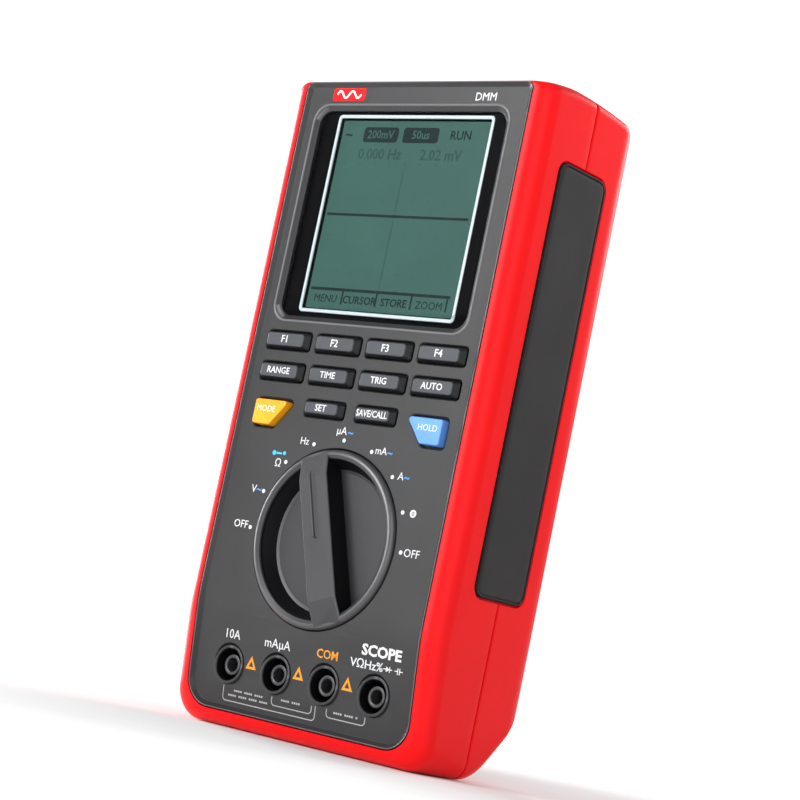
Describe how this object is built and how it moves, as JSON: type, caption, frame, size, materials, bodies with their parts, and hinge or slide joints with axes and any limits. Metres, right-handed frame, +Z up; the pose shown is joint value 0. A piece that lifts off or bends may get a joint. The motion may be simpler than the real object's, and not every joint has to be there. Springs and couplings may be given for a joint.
{
  "type": "handheld oscilloscope multimeter",
  "caption": "Upright handheld oscilloscope multimeter with a square display, soft keys, a rotary selector, four test sockets and a fold-out stand.",
  "frame": {"origin": "centre of the bounding box, on the base that the instrument stands on", "axes": "+X to the right of someone facing the screen, +Y from the front to the back, +Z up"},
  "size_m": [0.1006, 0.0502, 0.2],
  "materials": {
    "red_shell": "satin red moulded plastic with a soft edge",
    "panel_plastic": "fine-grained satin charcoal",
    "grip_rubber": "matt rubber",
    "window": "clear, polished, black border on the inside",
    "bezel_metal": "bright rolled edge",
    "lcd_glass": "grey-green display behind a matt polariser",
    "white_plastic": "natural moulded",
    "black_plastic": "moulded",
    "circuit_board": "green solder mask",
    "mat_rubber": "silicone",
    "steel": "bright plated",
    "screw_steel": "zinc plated",
    "brass": "plain",
    "knob_plastic": "satin charcoal",
    "jack_plastic": "moulded black",
    "key_black": "satin blue-black",
    "key_yellow": "satin yellow",
    "key_blue": "satin blue",
    "fuse_ceramic": "glazed ceramic with plated caps",
    "cell_metal": "printed sleeve",
    "door_plastic": "fine-grained satin charcoal"
  },
  "bodies": {
    "case": {"front_shell": "red_shell", "rear_shell": "red_shell", "front_panel": "panel_plastic", "grip_left": "grip_rubber", "grip_right": "grip_rubber", "lens": "window", "lcd_bezel": "bezel_metal", "lcd_glass": "lcd_glass", "backlight": "white_plastic", "lcd_carrier": "black_plastic", "display_board": "circuit_board", "key_mat": "mat_rubber", "main_board": "circuit_board", "board_connector": "black_plastic", "board_chips": "black_plastic", "shield_can": "steel", "buzzer": "black_plastic", "detent_ring": "black_plastic", "selector_bush": "brass", "jack_shroud_10a": "jack_plastic", "jack_shroud_ma": "jack_plastic", "jack_shroud_com": "jack_plastic", "jack_shroud_v": "jack_plastic", "jack_socket_10a": "brass", "jack_socket_ma": "brass", "jack_socket_com": "brass", "jack_socket_v": "brass", "fuse_10a": "fuse_ceramic", "fuse_500ma": "fuse_ceramic", "fuse_clips": "brass", "battery_tray": "black_plastic", "cell_1": "cell_metal", "cell_2": "cell_metal", "cell_3": "cell_metal", "cell_4": "cell_metal", "battery_contacts": "steel", "battery_door": "door_plastic", "door_screws": "screw_steel", "case_screws": "screw_steel", "board_screws": "screw_steel"},
    "selector": {"knob": "knob_plastic", "selector_rotor": "white_plastic", "contact_wipers": "brass", "detent_balls": "steel", "detent_springs": "steel", "shaft_clip": "steel"},
    "stand": {"stand": "door_plastic"},
    "key_f1": {"key_f1": "key_black"},
    "key_f2": {"key_f2": "key_black"},
    "key_f3": {"key_f3": "key_black"},
    "key_f4": {"key_f4": "key_black"},
    "key_range": {"key_range": "key_black"},
    "key_time": {"key_time": "key_black"},
    "key_trig": {"key_trig": "key_black"},
    "key_auto": {"key_auto": "key_black"},
    "key_mode": {"key_mode": "key_yellow"},
    "key_set": {"key_set": "key_black"},
    "key_recall": {"key_recall": "key_black"},
    "key_hold": {"key_hold": "key_blue"}
  },
  "joints": [
    {"name": "selector_turn", "type": "hinge", "parent": "case", "child": "selector", "pos_m": [0, -0.01815, 0.0596], "axis": [0, 1, 0], "range_deg": [-69.5, 110.5]},
    {"name": "stand_tilt", "type": "hinge", "parent": "case", "child": "stand", "pos_m": [0, 0.02275, 0.101], "axis": [1, 0, 0], "range_deg": [0, 40]},
    {"name": "key_f1_press", "type": "slide", "parent": "case", "child": "key_f1", "axis": [0, 1, 0], "range_m": [0, 0.001], "stiffness_N_per_m": 200, "springref_m": -0.001},
    {"name": "key_f2_press", "type": "slide", "parent": "case", "child": "key_f2", "axis": [0, 1, 0], "range_m": [0, 0.001], "stiffness_N_per_m": 200, "springref_m": -0.001},
    {"name": "key_f3_press", "type": "slide", "parent": "case", "child": "key_f3", "axis": [0, 1, 0], "range_m": [0, 0.001], "stiffness_N_per_m": 200, "springref_m": -0.001},
    {"name": "key_f4_press", "type": "slide", "parent": "case", "child": "key_f4", "axis": [0, 1, 0], "range_m": [0, 0.001], "stiffness_N_per_m": 200, "springref_m": -0.001},
    {"name": "key_range_press", "type": "slide", "parent": "case", "child": "key_range", "axis": [0, 1, 0], "range_m": [0, 0.001], "stiffness_N_per_m": 200, "springref_m": -0.001},
    {"name": "key_time_press", "type": "slide", "parent": "case", "child": "key_time", "axis": [0, 1, 0], "range_m": [0, 0.001], "stiffness_N_per_m": 200, "springref_m": -0.001},
    {"name": "key_trig_press", "type": "slide", "parent": "case", "child": "key_trig", "axis": [0, 1, 0], "range_m": [0, 0.001], "stiffness_N_per_m": 200, "springref_m": -0.001},
    {"name": "key_auto_press", "type": "slide", "parent": "case", "child": "key_auto", "axis": [0, 1, 0], "range_m": [0, 0.001], "stiffness_N_per_m": 200, "springref_m": -0.001},
    {"name": "key_mode_press", "type": "slide", "parent": "case", "child": "key_mode", "axis": [0, 1, 0], "range_m": [0, 0.001], "stiffness_N_per_m": 200, "springref_m": -0.001},
    {"name": "key_set_press", "type": "slide", "parent": "case", "child": "key_set", "axis": [0, 1, 0], "range_m": [0, 0.001], "stiffness_N_per_m": 200, "springref_m": -0.001},
    {"name": "key_recall_press", "type": "slide", "parent": "case", "child": "key_recall", "axis": [0, 1, 0], "range_m": [0, 0.001], "stiffness_N_per_m": 200, "springref_m": -0.001},
    {"name": "key_hold_press", "type": "slide", "parent": "case", "child": "key_hold", "axis": [0, 1, 0], "range_m": [0, 0.001], "stiffness_N_per_m": 200, "springref_m": -0.001}
  ]
}
